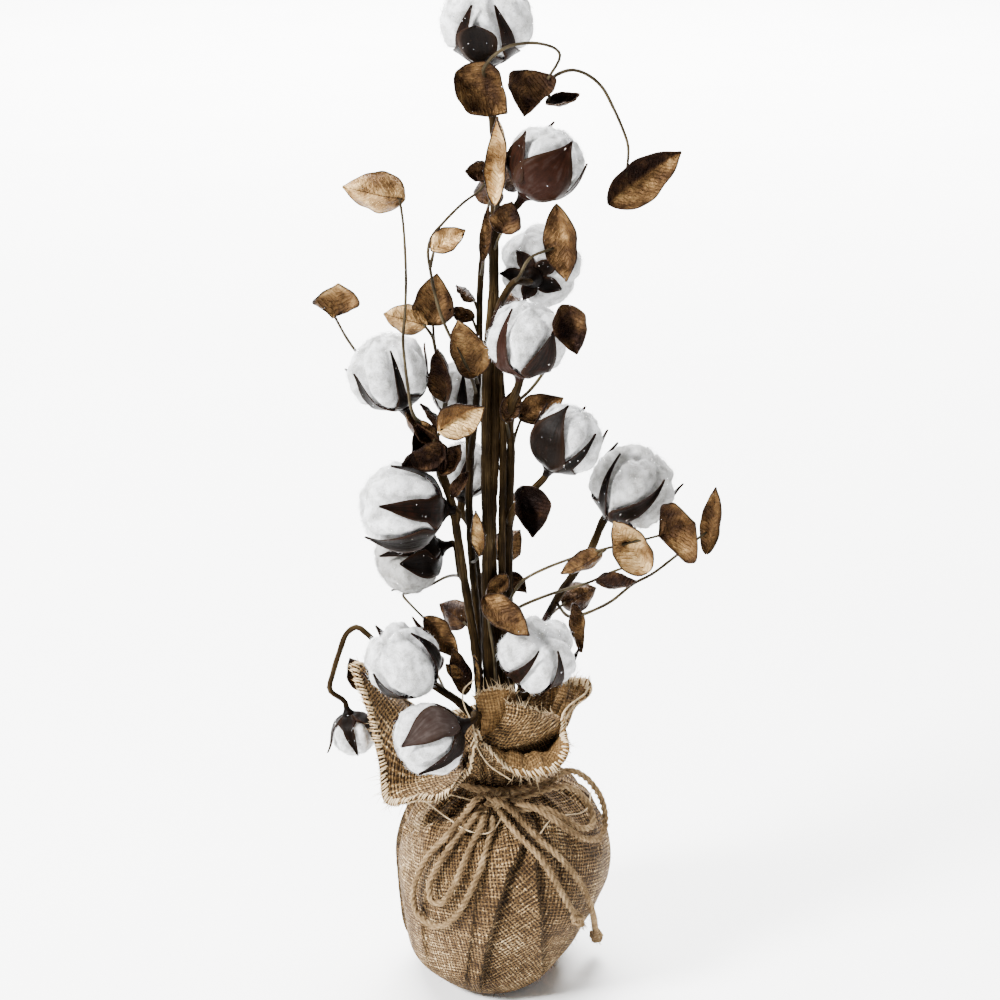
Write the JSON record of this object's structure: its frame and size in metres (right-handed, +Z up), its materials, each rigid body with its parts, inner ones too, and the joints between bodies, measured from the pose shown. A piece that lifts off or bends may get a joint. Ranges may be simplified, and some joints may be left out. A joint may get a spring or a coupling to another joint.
{
  "type": "cotton stem bunch",
  "caption": "Standing bunch of dried cotton branches with white bolls and cupped gold-brown leaves, in a pot wrapped in burlap and tied with a jute bow.",
  "frame": {"origin": "on the surface it stands on, under the middle of the gathered neck", "axes": "+Z up along the branches, -Y towards the bow at the front, +X to the right seen from the front"},
  "size_m": [0.2325, 0.1439, 0.6043],
  "materials": {
    "burlap": "coarse open plain weave of natural jute, matt, with frayed rims",
    "jute": "loosely twisted natural jute twine with stray fibres, matt",
    "terracotta": "plain unglazed clay, out of sight",
    "plaster": "set plaster, matt, out of sight",
    "branch": "dark brown bark-like wrapped stems, with gold-brown crinkled leaves that have a soft metallic sheen",
    "burr": "dry dark brown husk, satin outside, ribbed lengthwise",
    "lint": "white loose cotton, matt and fuzzy, with a few fine glitter flakes"
  },
  "bodies": {
    "root": {"inner_pot": "terracotta", "plaster_fill": "plaster", "burlap_wrap": "burlap", "twine_tie": "jute", "twine_knot": "jute", "twine_loop_left_outer": "jute", "twine_loop_left_inner": "jute", "twine_loop_right_outer": "jute", "twine_loop_right_inner": "jute", "twine_tail_short": "jute", "twine_tail_short_knot": "jute", "twine_tail_long": "jute", "twine_tail_long_knot": "jute", "branch_centre": "branch", "branch_right": "branch", "branch_left": "branch", "branch_inner": "branch", "branch_far_right": "branch", "branch_low_left": "branch", "branch_low_right": "branch", "branch_back": "branch", "boll_top_burr": "burr", "boll_top_lint": "lint", "boll_upper_right_burr": "burr", "boll_upper_right_lint": "lint", "boll_turned_away_burr": "burr", "boll_turned_away_lint": "lint", "boll_middle_right_burr": "burr", "boll_middle_right_lint": "lint", "boll_left_burr": "burr", "boll_left_lint": "lint", "boll_back_upper_burr": "burr", "boll_back_upper_lint": "lint", "boll_right_burr": "burr", "boll_right_lint": "lint", "boll_far_right_burr": "burr", "boll_far_right_lint": "lint", "boll_left_middle_burr": "burr", "boll_left_middle_lint": "lint", "boll_left_lower_burr": "burr", "boll_left_lower_lint": "lint", "boll_low_left_burr": "burr", "boll_low_left_lint": "lint", "boll_front_burr": "burr", "boll_front_lint": "lint", "boll_hanging_burr": "burr", "boll_hanging_lint": "lint", "boll_low_right_burr": "burr", "boll_low_right_lint": "lint", "boll_back_lower_burr": "burr", "boll_back_lower_lint": "lint"}
  },
  "joints": []
}
